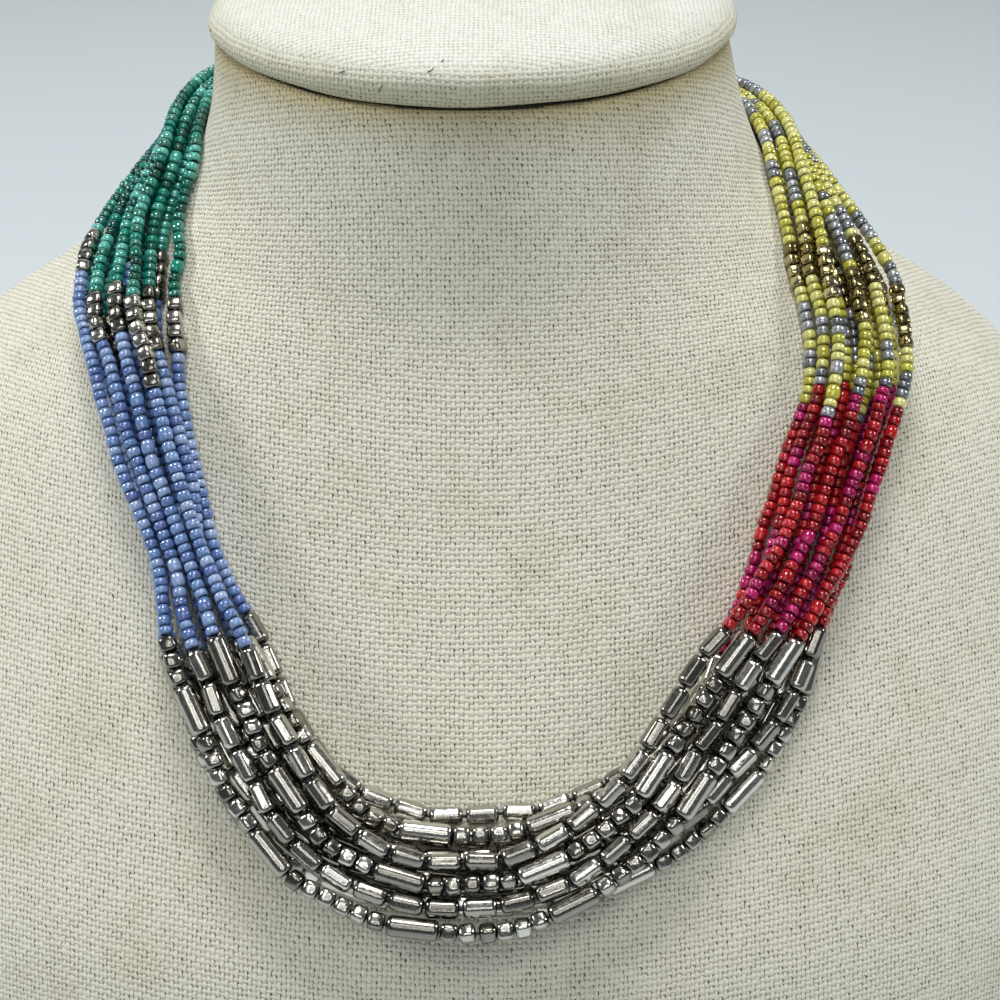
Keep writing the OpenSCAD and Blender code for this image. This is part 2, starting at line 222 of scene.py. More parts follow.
# each wave of the sway: its share, the mm that turn it by a radian, and its turn from string to string
SWAY_WAVES = ((0.6, 3.1, 2.4), (0.4, 1.7, 4.1))
# a short way along the rows, to find a string's direction
AHEAD = 0.02


def layout_at(t):
    i = row_before(LAYOUT, t)
    u = (t - LAYOUT[i][0]) / (LAYOUT[i + 1][0] - LAYOUT[i][0])
    ease = u * u * (3 - 2 * u)
    return LAYOUT[i] * (1 - ease) + LAYOUT[i + 1] * ease


def route(k):
    """Angle, height and distance off the cloth of string k at each row of the band."""
    layer, slot = STRANDS[k][:2]
    middle = (STRANDS_IN_LAYER[layer] - 1) / 2
    rows = []
    for r, b in enumerate(BAND):
        lay = layout_at(r)
        stray = lay[STRAY] * math.sin(math.radians(STRAY_BY_STRING * k + STRAY_BY_ROW * r))
        across = 0.5 + (slot - middle) * lay[SPACING] + lay[SHIFT + layer] + stray
        angle, height = b[:2] + across * (b[2:] - b[:2])
        rows.append([angle, height, lay[FIRST_H] + layer * lay[STEP_H]])
    return np.array(rows)


class String:
    """One string of the necklace: where it is at a length along it, in millimetres."""

    def __init__(self, k):
        self.k = k
        self.name = "%02d" % (k + 1)
        self.rows = route(k)
        self.t = np.arange(LAST_ROW * STEPS_PER_ROW + 1) / STEPS_PER_ROW
        points = [above_cloth(self.along(t)) for t in self.t]
        steps = [(b - a).length for a, b in zip(points, points[1:])]
        self.s = np.concatenate([[0], np.cumsum(steps)])
        self.whole = float(self.s[-1])
        self.room_at, self.room = [0, 1], [0, 0]
        self.metal_from = float(np.interp(STRANDS[k][2], self.t, self.s))
        hexes, tubes, nuggets, lead = STRANDS[k][3:]
        self.lead = lead * (NUGGET + NUGGET_GAP)
        self.run = TUBE_LEN + BEAD_GAP + nuggets * (NUGGET + NUGGET_GAP)
        long_part = self.lead + (tubes - 1) * self.run + TUBE_LEN + BEAD_GAP
        self.metal_to = self.metal_from + (hexes * (HEX_LEN + BEAD_GAP) if hexes else long_part)

    def along(self, t):
        r = self.rows
        i = min(max(int(t), 0), LAST_ROW - 1)
        m1 = (r[i + 1] - r[max(i - 1, 0)]) / (2 if i > 0 else 1)
        m2 = (r[min(i + 2, LAST_ROW)] - r[i]) / (2 if i < LAST_ROW - 1 else 1)
        return cubic(r[i], r[i + 1], m1, m2, t - i)

    def frame(self, s):
        """Place, direction and way off the cloth at a length s."""
        t = float(np.interp(s, self.s, self.t))
        here = self.along(t)
        ahead, behind = self.along(min(t + AHEAD, LAST_ROW)), self.along(max(t - AHEAD, 0))
        way = (above_cloth(ahead) - above_cloth(behind)).normalized()
        out = cloth_normal(here[0], here[1])
        out = (out - out.dot(way) * way).normalized()
        return above_cloth(here) + self.sway(s) * way.cross(out), way, out

    def sway(self, s):
        """How far the string strays to the side, inside the room that its neighbours leave."""
        wave = sum(share * math.sin(s / pace + turn * self.k) for share, pace, turn in SWAY_WAVES)
        return float(np.interp(s, self.room_at, self.room)) * wave

    def bead(self, s, length):
        """The frame of a straight bead whose two ends are on the string."""
        a, b = self.frame(s - length / 2), self.frame(s + length / 2)
        way = (b[0] - a[0]).normalized()
        out = a[2] + b[2]
        return (a[0] + b[0]) / 2, way, (out - out.dot(way) * way).normalized()


# in mm, how far strings stay apart in glass and metal, the most that one sways and how far the
# metal's room reaches; then the rows on each side that share the least room
GLASS_ROOM, METAL_ROOM, MOST_SWAY, METAL_REACH, SHARED_ROWS = 2.5, 3.4, 0.9, 4, 3
strings = [String(k) for k in range(len(STRANDS))]
places = [np.array([above_cloth(string.along(t)) for t in string.t]) for string in strings]
for string, own in zip(strings, places):
    gaps = [np.linalg.norm(own[:, None] - other[None], axis=2).min(axis=1)
            for other in places if other is not own]
    in_metal = (string.s > string.metal_from - METAL_REACH) & (string.s < string.metal_to + METAL_REACH)
    room = np.clip((np.min(gaps, axis=0) - np.where(in_metal, METAL_ROOM, GLASS_ROOM)) / 2, 0, MOST_SWAY)
    string.room_at = string.s
    nearby = [room[max(i - SHARED_ROWS, 0):i + SHARED_ROWS + 1] for i in range(len(room))]
    string.room = np.array([rooms.min() for rooms in nearby])
print("strings", " ".join("%s: %.0f mm" % (s.name, s.whole) for s in strings))

# %% [markdown]
# ## Small tools
# Colours are hex values, chosen from how the real finishes look, and one function turns them
# to linear light. The others add a shader node with its settings and links, so a finish
# reads as a short list of nodes. The last three turn a bmesh into an object.

# %% Colours, nodes and objects


def linear(code):
    """Linear colour of an sRGB hex value."""
    parts = [int(code[i:i + 2], 16) / 255 for i in (1, 3, 5)]
    return tuple(p / 12.92 if p <= 0.04045 else ((p + 0.055) / 1.055) ** 2.4 for p in parts) + (1.0,)


def add(tree, kind, inputs=None, **settings):
    """Adds a node, sets it up and links or fills its inputs."""
    node = tree.nodes.new(kind)
    for key, value in settings.items():
        setattr(node, key, value)
    for key, value in (inputs or {}).items():
        if isinstance(value, bpy.types.NodeSocket):
            tree.links.new(value, node.inputs[key])
        else:
            node.inputs[key].default_value = value
    return node


def calc(tree, operation, a, b=0.0, c=0.0):
    return add(tree, "ShaderNodeMath", {0: a, 1: b, 2: c}, operation=operation).outputs[0]


def noise(tree, place, scale, detail, **more):
    return add(tree, "ShaderNodeTexNoise", {"Vector": place, "Scale": scale, "Detail": detail, **more})


def shift(tree, vector, by, onto):
    """Moves a place by a vector that is sized first."""
    inputs = {0: vector, 1: by, 2: onto}
    return add(tree, "ShaderNodeVectorMath", inputs, operation="MULTIPLY_ADD").outputs[0]


def attribute(tree, name):
    return add(tree, "ShaderNodeAttribute", attribute_name=name).outputs["Fac"]


def multiplied(tree, colour, by, share=1.0):
    """A colour multiplied by a second one, as far as the share says."""
    return add(tree, "ShaderNodeMix", {0: share, 6: colour, 7: by}, data_type="RGBA",
               blend_type="MULTIPLY").outputs[2]


def darkened(tree, colour, least):
    """A colour that falls to a least share of itself where the belt is 0: painted shade at the ends of
    glass beads, patina and painted shade at those of metal ones.
    """
    inputs = {"Value": attribute(tree, "belt"), "To Min": least, "To Max": 1.0}
    return multiplied(tree, colour, add(tree, "ShaderNodeMapRange", inputs).outputs[0])


def relief(tree, height, strength, distance, **more):
    """A bumpy surface's normal. The distance is in millimetres."""
    inputs = {"Height": height, "Strength": strength, "Distance": distance * MM, **more}
    return add(tree, "ShaderNodeBump", inputs).outputs["Normal"]


def finish(name, **surface):
    """A material of one Principled surface with fixed values, its tree and its shader."""
    material = bpy.data.materials.new(name)
    material.use_nodes = True
    tree = material.node_tree
    shader = tree.nodes["Principled BSDF"]
    for key, value in surface.items():
        shader.inputs[key.replace("_", " ")].default_value = value
    return material, tree, shader


def ramp(tree, factor, stops):
    """A colour ramp through (place, hex colour) stops."""
    node = add(tree, "ShaderNodeValToRGB", {"Fac": factor})
    cells = node.color_ramp.elements
    while len(cells) < len(stops):
        cells.new(0.5)
    for cell, (place, code) in zip(cells, stops):
        cell.position = place
        cell.color = linear(code)
    return node.outputs["Color"]


def meshed(name, bm):
    mesh = bpy.data.meshes.new(name)
    bm.to_mesh(mesh)
    bm.free()
    return mesh


def placed(name, data):
    obj = bpy.data.objects.new(name, data)
    bpy.context.scene.collection.objects.link(obj)
    return obj


def piece(name, bm, *materials):
    """An object of these materials that rides on the necklace's one body."""
    obj = placed(name, meshed(name, bm))
    for material in materials:
        obj.data.materials.append(material)
    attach(obj, "root")
    return obj


# %% [markdown]
# ## Linen
# The cover is a coarse plain weave: thick cream warp yarns stand out as short upright lobes,
# set like bricks, and the thinner weft shows as a pale dash between two lobes. Above each lobe
# and to its right, where the yarn dives under, its shadow is painted dark into the colour. Two
# yarns repeat in 1.7 mm across, and rows are about 1 mm apart. The pattern follows the cloth,
# so it reads a UV map that is laid out in millimetres. The yarns wander and change thickness,
# as spun flax does.

# %% The linen finish
WARP_PITCH = 0.85
ROW_PITCH = 1.06
# where a lobe's painted shadow lies beside it, in yarns
PAINTED_SHADOW_AT = (-0.19, -0.08, 0)
# how far yarns wander, in mm, over some 6 mm and over 1 mm
SLOW_DRIFT, FAST_DRIFT = (0.8, 0.8, 0), (0.5, 0.4, 0)
# how much a yarn's thickness differs, and the least
YARN_VARIES, YARN_LEAST = 0.22, 0.88
# where a yarn's wave starts, half its width, its rise and least height
WARP = (-math.pi / 2, 0.51, 0.85, 0.12)
WEFT = (math.pi / 2, 0.34, 0.5, 0.22)
# the stains are the cloth's own; the second tint is painted shade under the cap and on its wall, with a
# little grime under the cap
OLD_STAIN, SHADE_AND_GRIME_TINT = "#c6bb98", "#d6cba4"


def yarn_heights(tree, cell, thickness):
    """Heights of the warp and the weft at a place counted in yarns."""
    axes = add(tree, "ShaderNodeSeparateXYZ", {0: cell})
    x, y = axes.outputs["X"], axes.outputs["Y"]
    heights = []
    for along, across, (phase, half, rise, base) in ((y, x, WARP), (x, y, WEFT)):
        count = calc(tree, "FLOOR", across)
        turn = calc(tree, "MULTIPLY_ADD", calc(tree, "ADD", along, count), math.pi, phase)
        lift = calc(tree, "MULTIPLY_ADD", calc(tree, "COSINE", turn), rise / 2, base + rise / 2)
        aside = calc(tree, "SUBTRACT", calc(tree, "FRACT", across), 0.5)
        reach = calc(tree, "DIVIDE", aside, calc(tree, "MULTIPLY", thickness, half))
        hump = calc(tree, "MULTIPLY_ADD", calc(tree, "MULTIPLY", reach, reach), -1.0, 1.0)
        round_top = calc(tree, "SQRT", calc(tree, "MAXIMUM", hump, 0.0))
        heights.append(calc(tree, "MULTIPLY", round_top, lift))
    return heights


def linen(name, pale, body, gap, contrast, shade_deepens_hollows=0.0):
    """Plain weave with painted shadows in its hollows. They deepen where the painted shade is, as far as
    shade_deepens_hollows says.
    """
    material, tree, shader = finish(name, Roughness=0.95, Sheen_Weight=0.15, Sheen_Roughness=0.5)
    uv = add(tree, "ShaderNodeUVMap", uv_map="cloth").outputs["UV"]
    slow, fast = noise(tree, uv, 0.16, 1.0), noise(tree, uv, 1.0, 2.0)
    drift = shift(tree, slow.outputs["Color"], SLOW_DRIFT, uv)
    place = shift(tree, fast.outputs["Color"], FAST_DRIFT, drift)
    cell = shift(tree, place, (1 / WARP_PITCH, 1 / ROW_PITCH, 1), (0, 0, 0))
    below = shift(tree, cell, (1, 1, 1), PAINTED_SHADOW_AT)
    single = add(tree, "ShaderNodeVectorMath", {0: cell}, operation="FLOOR").outputs[0]
    yarn = add(tree, "ShaderNodeTexWhiteNoise", {"Vector": single}, noise_dimensions="2D").outputs["Value"]
    thickness = calc(tree, "MULTIPLY_ADD", yarn, YARN_VARIES, YARN_LEAST)
    warp, weft = yarn_heights(tree, cell, thickness)
    warp_below = yarn_heights(tree, below, thickness)[0]
    height = calc(tree, "SMOOTH_MAX", warp, weft, 0.05)
    fibre = noise(tree, shift(tree, uv, (5.5, 1.4, 1.0), (0, 0, 0)), 1.0, 3.0).outputs["Fac"]
    whole = calc(tree, "MULTIPLY_ADD", fibre, 0.3, height)

    # the painted shadows in the hollows are deep in some patches and hardly show in others
    painted_shadow = calc(tree, "MAXIMUM", calc(tree, "SUBTRACT", warp_below, height), 0.0)
    patchy = calc(tree, "MULTIPLY", fast.outputs["Fac"], noise(tree, uv, 0.5, 1.0).outputs["Fac"])
    uneven = calc(tree, "MULTIPLY_ADD", patchy, 9.0, -1.5)
    uneven = calc(tree, "MINIMUM", calc(tree, "MAXIMUM", uneven, 0.35), 1.6)
    dark = calc(tree, "MULTIPLY", painted_shadow, uneven)
    # each yarn and fibre has a shade of its own
    own = calc(tree, "MULTIPLY_ADD", fibre, 0.7, -0.42)
    own = calc(tree, "MULTIPLY_ADD", yarn, 0.14, own)
    soil = attribute(tree, "soil")
    depth = calc(tree, "MULTIPLY_ADD", soil, -shade_deepens_hollows, -contrast)
    shade = calc(tree, "ADD", calc(tree, "MULTIPLY_ADD", dark, depth, whole), own)
    # the low places of the weave run to the gap colour, as dark gaps between yarns and as painted shade,
    # and so do the painted shadows
    cloth = ramp(tree, shade, [(0.02, gap), (0.36, body), (0.95, pale)])
    dash = calc(tree, "MULTIPLY", calc(tree, "SUBTRACT", weft, warp), 2.2)
    dashed = add(tree, "ShaderNodeMix", {0: dash, 6: cloth, 7: linear(pale)}, data_type="RGBA")
    stain = noise(tree, uv, 0.045, 5.0, Roughness=0.65).outputs["Fac"]
    stains = {"Value": stain, "From Min": 0.5, "From Max": 0.75, "To Max": 0.3}
    aged = add(tree, "ShaderNodeMapRange", stains).outputs[0]
    stained = multiplied(tree, dashed.outputs[2], linear(OLD_STAIN), aged)
    # darkened by the painted shade and grime
    tree.links.new(multiplied(tree, stained, linear(SHADE_AND_GRIME_TINT), soil), shader.inputs["Base Color"])
    tree.links.new(relief(tree, whole, 0.9, 0.3), shader.inputs["Normal"])
    return material


# each copy of the linen paints its own depth of shadow in the hollows; the cap's is faint on its top and
# deepens with the painted shade on its wall
bust_linen = linen("woven_linen", pale="#f1eedd", body="#d9d5c0", gap="#504c3a", contrast=1.3)
cap_linen = linen("woven_linen_cap", pale="#ebece1", body="#d6d7c8", gap="#7d7862", contrast=0.2,
                  shade_deepens_hollows=2.0)
# a dark copy of the linen, painted as the shade inside the seam
seam_shade_linen = linen("linen_painted_seam_shade", pale="#7a7462", body="#5f5a4a", gap="#353126", contrast=1.0)
print("finishes:", bust_linen.name, cap_linen.name, seam_shade_linen.name)

# %% [markdown]
# ## The bust's cover
# The cover is one skin drawn over the form. A fine grid is wrapped onto the sections: its
# columns run round the bust from a seam at the back, and its rows run up it. The grid's
# own spacing, measured on the finished skin, gives the UV map in millimetres, so
# the weave keeps its size on the chest, over the shoulders and up the neck.

# %% A grid wrapped onto the bust
AROUND, UP = 180, 96
# where the skin ends, the height and rows of its lip, and the share that the lip turns in
SKIN_HIGH, LIP, LIP_ROWS, LIP_IN = 179.9, 0.6, 5, 0.07
# how far the seam dips at the front and rises at the sides, and how far the neck's top leans
SEAM_DIP, SEAM_RISE, LEAN = 0.6, 1.9, -1.4
# how far below the seam its lift, its lean and its painted shade and grime reach
LIFT_REACH, LEAN_REACH, SHADE_AND_GRIME_REACH = 12, 30, 12
# how far a row of the weave dips to the back, a millimetre of depth
ROW_DIP = 0.5


def lengths(rows):
    """The distance from each point of a row to the next, after a 0."""
    return [[0] + [(b - a).length for a, b in zip(row, row[1:])] for row in rows]


def cloth_uv(columns, rows, place_of, dip):
    """The UV map by lengths on the skin: across from the middle column, and up to 0 at the top row.

    A row of the weave sinks by the dip for each millimetre towards the back.
    """
    points = [[place_of(i / columns, j / rows) for i in range(columns + 1)] for j in range(rows + 1)]
    across = np.array(lengths(points)).cumsum(axis=1)
    across -= across[:, columns // 2][:, None]
    up = np.array(lengths(zip(*points))).T.cumsum(axis=0)
    depth = np.array([[p.y for p in row] for row in points])
    return across, up - up[-1] + dip * (depth - depth.min(axis=1, keepdims=True))


def wrapped_skin(name, columns, rows, place_of, shade_and_grime_of, cloth, dip=0.0):
    """A grid of columns by rows whose points go where place_of(u, v) says. Its second material is the
    painted shade of the seam.
    """
    bm = bmesh.new()
    bmesh.ops.create_grid(bm, x_segments=columns, y_segments=rows, size=1)
    layer = bm.loops.layers.uv.new("cloth")
    across, up = cloth_uv(columns, rows, place_of, dip)
    soil = bm.verts.layers.float.new("soil")
    at = {v: (round((v.co.x + 1) / 2 * columns), round((v.co.y + 1) / 2 * rows)) for v in bm.verts}
    for face in bm.faces:
        for loop in face.loops:
            i, j = at[loop.vert]
            loop[layer].uv = (across[j, i], up[j, i])
    for v, (i, j) in at.items():
        v.co = place_of(i / columns, j / rows) * MM
        v[soil] = shade_and_grime_of(j / rows)
    bmesh.ops.remove_doubles(bm, verts=bm.verts, dist=1e-7)
    rims = [e for e in bm.edges if e.is_boundary]
    if rims:
        bmesh.ops.holes_fill(bm, edges=rims, sides=0)
    bmesh.ops.recalc_face_normals(bm, faces=bm.faces)
    for face in bm.faces:
        face.smooth = True
    return piece(name, bm, cloth, seam_shade_linen)


def seam_lift(angle):
    """How far the seam rises towards the two sides of the neck. It dips at the front."""
    return SEAM_RISE * abs(math.cos(angle)) ** 3 - SEAM_DIP


def skin_height(v):
    return float(np.interp(v, [0, 1 - LIP_ROWS / UP, 1], [0, SKIN_HIGH - LIP, SKIN_HIGH]))


def bust_skin(u, v):
    """The skin turns in at a lip under the cap, and its edge follows the cap's seam."""
    height = skin_height(v)
    below = SKIN_HIGH - height
    place = bust_point(90 + 360 * u, height)
    shrink = 1 - LIP_IN * max(0.0, 1 - below / LIP) ** 1.3
    lift = seam_lift(math.radians(90 + 360 * u)) * max(0.0, 1 - below / LIFT_REACH)
    lean = LEAN * max(0.0, 1 - below / LEAN_REACH) ** 2
    return Vector((place.x * shrink + lean, NECK_Y + (place.y - NECK_Y) * shrink, place.z + lift))


def bust_shade_and_grime(v):
    """Just under the cap the cloth is darkened: painted shade of the cap, with a little grime."""
    return max(0.0, 1 - (SKIN_HIGH - skin_height(v)) / SHADE_AND_GRIME_REACH) ** 2


bust_cover = wrapped_skin("bust_cover", AROUND, UP, bust_skin, bust_shade_and_grime, bust_linen, ROW_DIP)
# the painted shade of the seam begins this far below the neck's top
DARK_LIP = 0.4
for face in bust_cover.data.polygons:
    x, y, z = face.center / MM
    face.material_index = int(z > NECK_TOP - DARK_LIP + seam_lift(math.atan2(y - NECK_Y, x - LEAN)))
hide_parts("bust_body")
print("bust cover:", len(bust_cover.data.polygons), "faces")

# %% [markdown]
# ## The padded cap
# The neck ends in a stuffed oval pad under the same linen. Its wall swells past the neck,
# leaves a seam below, painted dark as its shade, and rolls over a broad soft shoulder into a slightly
# crowned top.
# On the wall the weave follows the rim, and above the fold it runs straight across the top,
# as a flat piece would. The cloth is pulled by hand, so the rim is a little uneven.

# %% The cap, from its seam to the middle of its top
CAP_H, CAP_OVERHANG, CAP_SEAM = 14, 1.7, 0.2
# height and how far in, both as shares of the cap's height
CAP_PROFILE = np.array([
    [0.012, 0.62], [0.0, 0.42], [0.0, 0.25], [0.006, 0.18], [0.025, 0.14], [0.055, 0.108], [0.09, 0.078],
    [0.13, 0.048], [0.17, 0.024], [0.215, 0.008], [0.265, 0.0], [0.32, 0.006], [0.37, 0.024], [0.42, 0.056],
    [0.465, 0.1], [0.51, 0.165], [0.55, 0.25], [0.59, 0.37], [0.63, 0.53], [0.67, 0.73], [0.71, 1.0],
    [0.76, 1.32], [0.81, 1.68], [0.865, 2.1], [0.92, 2.5], [0.968, 2.85], [1.0, 3.1],
])
# how much more the shoulder is rounded at the two sides than at the front
SIDE_PUFF = 0.35
# waves round the cap, each as size in mm, waves a turn and where it starts
SWELLS = ((0.3, 3, 0.6), (0.25, 7, 2), (0.12, 17, 0))
RIM_WAVES = ((0.2, 5, 1), (0.08, 13, 0))


def waves(table, angle):
    return sum(size * math.sin(turns * angle + start) for size, turns, start in table)


def cap_skin(u, v):
    """A place on the cap, from a share of the way round it and a share of the way up its profile."""
    row = v * (len(CAP_PROFILE) - 1)
    i = min(int(row), len(CAP_PROFILE) - 2)
    rise, inset = CAP_PROFILE[i] + (row - i) * (CAP_PROFILE[i + 1] - CAP_PROFILE[i])
    angle = math.radians(90 + 360 * u)
    top = section_at(NECK_TOP)
    puff = SIDE_PUFF * math.cos(angle) ** 2 * max(0.0, rise - 0.1) ** 1.5 * max(0.0, 1 - inset)
    out = CAP_OVERHANG - (inset + puff) * CAP_H
    depth = (top[FRONT] if math.sin(angle) < 0 else top[BACK]) + out
    swell = waves(SWELLS, angle) * math.sin(math.pi * min(rise, 1)) * max(0, 1 - inset)
    return Vector((
        (top[HALF_W] + out + swell) * math.cos(angle) + LEAN,
        NECK_Y + (depth + swell) * math.sin(angle),
        NECK_TOP + CAP_SEAM + rise * CAP_H + (seam_lift(angle) + waves(RIM_WAVES, angle)) * (1 - rise) ** 2,
    ))


# the share of the cap's height above which the weave runs straight across
FOLD = 0.45
# shares of the way up the profile, and how much painted shade the cloth gets there
WALL_SHADE_AT, WALL_SHADE = [0, 0.15, 0.38, 0.6], [0.9, 0.7, 0.5, 0]
# faces that look down more than this are inside the seam, and get its painted shade
FACES_DOWN = -0.93
CAP_ROWS = 100


def cap_wall_shade(v):
    """The wall gets painted shade, the top none."""
    return float(np.interp(v, WALL_SHADE_AT, WALL_SHADE))


cap = wrapped_skin("padded_cap_cover", AROUND, CAP_ROWS, cap_skin, cap_wall_shade, cap_linen)
draped = cap.data.uv_layers["cloth"].data
for face in cap.data.polygons:
    face.material_index = int(face.normal.z < FACES_DOWN)
    if face.center.z / MM > NECK_TOP + CAP_SEAM + FOLD * CAP_H:
        for loop in face.loop_indices:
            x, y = cap.data.vertices[cap.data.loops[loop].vertex_index].co.xy / MM
            draped[loop].uv = (x, y - NECK_Y)
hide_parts("neck_cap")
print("cap:", len(cap.data.polygons), "faces")

# %% [markdown]
# ## Lint
# A few short dark fibres cling to the pale cap, as they do to any cloth that is handled. Each is
# a hair-thin curved tube laid on the skin.

# %% Fibres on the cap


def round_line(points, radius):
    """A thin tube through points in millimetres, as a bmesh."""
    curve = bpy.data.curves.new("round_line", "CURVE")
    curve.dimensions = "3D"
    curve.bevel_depth = radius * MM
    curve.bevel_resolution = 1
    curve.use_fill_caps = True
    line = curve.splines.new("POLY")
    line.points.add(len(points) - 1)
    for point, place in zip(line.points, points):
        point.co = (*(Vector(place) * MM), 1)
    helper = placed("round_line", curve)
    bm = bmesh.new()
    bm.from_mesh(helper.to_mesh())
    bpy.data.objects.remove(helper)
    return bm


def fibre_finish(name, dark, light, scale, rough):
    """A fine fibre whose tone changes along it."""
    material, tree, shader = finish(name, Roughness=rough)
    where = add(tree, "ShaderNodeTexCoord").outputs["Object"]
    twist = noise(tree, where, scale, 1.0).outputs["Fac"]
    tree.links.new(ramp(tree, twist, [(0.3, dark), (0.7, light)]), shader.inputs["Base Color"])
    return material


# a fibre's radius and how far it lies off the skin, in mm
LINT_R, OFF_CAP = 0.09, Vector((0, -0.1, 0.1))
# each fibre's first and last place on the cap, round it and up its profile
LINT = [((0.426, 0.46), (0.429, 0.48)), ((0.477, 0.53), (0.48, 0.555)), ((0.449, 0.318), (0.452, 0.4)),
        ((0.484, 0.605), (0.485, 0.62)), ((0.291, 0.37), (0.294, 0.4))]
bm = bmesh.new()
for (u0, v0), (u1, v1) in LINT:
    steps = np.linspace(0, 1, 6)
    points = [cap_skin(u0 + (u1 - u0) * k, v0 + (v1 - v0) * k ** 2) + OFF_CAP for k in steps]
    bm.from_mesh(meshed("fibre", round_line(points, LINT_R)))
wool = fibre_finish("dark_wool_fibre", "#3d3a36", "#6a655c", 2000.0, 0.9)
lint = piece("lint_on_the_cap", bm, wool)
print("fibres:", len(LINT))

# %% [markdown]
# ## Glass
# Seed beads are cut from drawn glass cane and tumbled hot, so their ends are round and glossy.
# Some are opaque right through, some are clear coloured glass, and some carry a pearly
# lustre. Each bead has a tint of its own, kept as an attribute of its faces, that slides its
# colour along a short ramp.

# %% Glass finishes


def glass(name, stops, cloudy=0.0, **surface):
    """Coloured glass whose tint slides along the stops, with streaks if it is cloudy."""
    values = dict(Roughness=0.1, IOR=1.52, Coat_Weight=0.8, Coat_Roughness=0.03, Coat_IOR=1.8)
    values.update(surface)
    material, tree, shader = finish(name, **values)
    where = add(tree, "ShaderNodeTexCoord").outputs["Object"]
    streak = noise(tree, where, 700.0, 2.0).outputs["Fac"]
    mixed = calc(tree, "MULTIPLY_ADD", streak, cloudy, attribute(tree, "tint"))
    # each bead's ends get painted shade
    tree.links.new(darkened(tree, ramp(tree, mixed, stops), 0.35), shader.inputs["Base Color"])
    tree.links.new(relief(tree, streak, 0.15, 0.05), shader.inputs["Normal"])
    return material


DEEP = dict(Transmission_Weight=0.12, Roughness=0.05, Coat_Weight=0.6, Coat_IOR=1.6, Specular_IOR_Level=0.3)
GLASS = {
    # opaque right through, streaked
    "turquoise": glass("opaque_turquoise_glass", [(0.1, "#086e60"), (0.55, "#15907b"),
                                                  (0.99, "#5ac0ae")], cloudy=0.2),
    "blue": glass("opaque_periwinkle_glass", [(0.0, "#626eac"), (0.25, "#5a78b4"), (0.6, "#6d90c6"),
                                              (1.0, "#98b0da")], cloudy=0.2),
    # clear, with colour in the depth
    "teal": glass("clear_teal_glass", [(0.0, "#02433a"), (0.6, "#046858"), (1.0, "#0b9680")],
                  cloudy=0.1, **DEEP),
    "magenta": glass("clear_magenta_glass", [(0.0, "#86033f"), (0.6, "#b00856"), (1.0, "#cc1a70")],
                     cloudy=0.1, **DEEP),
    "red": glass("clear_red_glass", [(0.0, "#78030b"), (0.6, "#aa0c16"), (1.0, "#c91d22")],
                 cloudy=0.1, **DEEP),
    # opaque with a pearly lustre
    "yellow": glass("pearly_yellow_glass", [(0.0, "#a8a220"), (0.5, "#d8d344"), (1.0, "#f0ed90")],
                    cloudy=0.3, Metallic=0.1, Roughness=0.13, Coat_Weight=1.0),
    "grey": glass("pearly_grey_glass", [(0.0, "#686c72"), (0.5, "#8f949a"), (1.0, "#bdc1c5")],
                  cloudy=0.3, Metallic=0.5, Roughness=0.25),
}
print("glass:", ", ".join(m.name for m in GLASS.values()))

# %% [markdown]
# ## Cast metal
# The metal beads are cast in a pewter-like alloy, plated, blackened and tumbled, so the
# hollows stay dark and the faces come up bright with fine tumbling scratches. Their ends are
# darkened in the colour, as that patina and as painted shade where beads meet. A metal shows
# only what it reflects, so the base is a mid silver, and the scratches break up the gloss.

# %% Metal finishes
SMOOTHEST, ROUGHEST = 0.12, 0.26
# the share of its colour that a metal keeps at its ends, darkened as patina and as painted shade
DARK_END_SHARE = 0.12


def cast_metal(name, stops):
    """Plated cast metal: dents and scratches break its gloss, and its ends are dark, as patina and as
    painted shade.
    """
    material, tree, shader = finish(name, Metallic=1.0)
    where = add(tree, "ShaderNodeTexCoord").outputs["Object"]
    patch = noise(tree, where, 300.0, 2.0).outputs["Fac"]
    grain = noise(tree, where, 1500.0, 2.0, Distortion=1.0).outputs["Fac"]
    tint = calc(tree, "MULTIPLY", attribute(tree, "tint"), 0.65)
    tone = ramp(tree, calc(tree, "MULTIPLY_ADD", grain, 0.35, tint), stops)
    tree.links.new(darkened(tree, tone, DARK_END_SHARE), shader.inputs["Base Color"])
    gloss = add(tree, "ShaderNodeMapRange", {"Value": grain, "From Min": 0.35, "From Max": 0.65,
                                             "To Min": SMOOTHEST, "To Max": ROUGHEST})
    tree.links.new(gloss.outputs[0], shader.inputs["Roughness"])
    dents = relief(tree, patch, 0.12, 0.12)
    tree.links.new(relief(tree, grain, 0.07, 0.03, Normal=dents), shader.inputs["Normal"])
    return material


pewter = cast_metal("antiqued_cast_pewter", [(0.1, "#817e75"), (0.5, "#b2afa5"), (0.9, "#ebe8e0")])
bronze = cast_metal("antiqued_cast_bronze", [
    (0.1, "#8a7f55"), (0.5, "#c4b682"), (0.75, "#e9ddac"), (0.92, "#fdf6de")])
print("metal:", pewter.name, bronze.name)

# %% [markdown]
# ## Thread
# A waxed dark thread runs through every string. It shows only as a dark line between beads,
# and a fine twist breaks its surface.

# %% The thread's finish
waxed_thread = fibre_finish("waxed_nylon_thread", "#1b1b1c", "#38383a", 3000.0, 0.5)
print("thread:", waxed_thread.name)

# %% [markdown]
# ## Bead shapes
# Each shape is made once, with its hole along Z, and then strung many times. A seed bead
# is a small ring spun from its outline. The six-sided and long beads start as prisms whose ends
# close in a few inset steps, as tumbling rounds them, and a nugget is a cube pushed out
# towards a sphere. They stay light, because each is repeated.

# %% A seed bead spun from its outline
SEED_HOLE, SEED_SIDES = 0.4, 12


def mark_shade_and_patina(bm, how_open):
    """Marks each corner from 0 at the ends, where shade is painted and metal has patina, to 1 on the body.
    """
    belt = bm.verts.layers.float.new("belt")
    for v in bm.verts:
        v[belt] = min(1.0, max(0.0, how_open(v.co)))
    return bm


